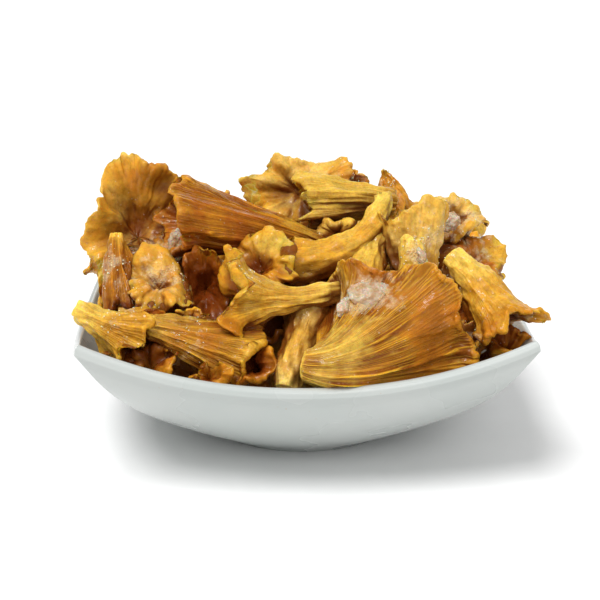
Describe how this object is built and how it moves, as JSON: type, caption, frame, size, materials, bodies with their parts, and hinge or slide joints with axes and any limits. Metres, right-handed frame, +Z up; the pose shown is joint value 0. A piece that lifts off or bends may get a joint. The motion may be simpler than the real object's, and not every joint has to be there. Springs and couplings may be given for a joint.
{
  "type": "bowl of chanterelle mushrooms",
  "caption": "Square white porcelain bowl with pointed raised corners and dipping sides, heaped with frosty golden chanterelle mushrooms: funnels, fans and stems.",
  "frame": {"origin": "centre of the bounding box's underside, on the surface that the bowl's foot ring stands on", "axes": "+Z up; the bowl's front side, which the picture shows, faces -Y; +X to the picture's right"},
  "size_m": [0.188, 0.1881, 0.1156],
  "materials": {
    "porcelain": "glossy white glaze",
    "golden": "moist, ribbed, golden yellow",
    "tan": "moist, frosty, light brown",
    "amber": "moist, ribbed, orange brown"
  },
  "bodies": {
    "root": {"bowl": "porcelain", "front_fan": "golden", "left_fan": "golden", "rim_left": "golden", "left_stalk": "golden", "front_stem": "tan", "rim_right": "golden", "right_low": "tan", "right_corner": "amber", "rim_scrap_left": "amber", "rim_scrap_middle": "golden", "front_brown": "amber", "left_blade": "amber", "left_knob": "tan", "small_cup": "golden", "dark_cup": "amber", "curled_ring": "golden", "left_under": "amber", "wedge_middle": "golden", "inner_stem": "golden", "bent_stalk": "golden", "upturned_stem": "golden", "right_flare": "tan", "tall_fan": "tan", "lying_funnel": "amber", "back_cap": "tan", "back_cap_small": "amber", "ribbed_top": "golden", "small_trumpet": "golden", "pointed_top": "amber", "right_loop": "tan", "right_brown": "amber", "rear_rim_left": "golden", "rear_knob": "tan", "rear_fan": "golden", "rear_funnel": "amber", "rear_stalk": "golden", "rear_cup": "tan", "rear_rim_right": "amber", "rear_low_left": "amber", "rear_low_middle": "tan", "rear_low_right": "golden", "side_left": "tan", "side_left_low": "golden", "side_right": "golden", "side_right_low": "amber", "core_left": "amber", "core_front": "golden", "core_right": "amber", "core_middle": "tan", "core_rear_left": "golden", "core_rear_right": "tan", "core_top_left": "amber", "core_centre": "golden", "core_side_right": "tan", "core_rear": "amber", "core_front_left": "golden", "core_front_right": "amber", "core_low_left": "tan"}
  },
  "joints": []
}
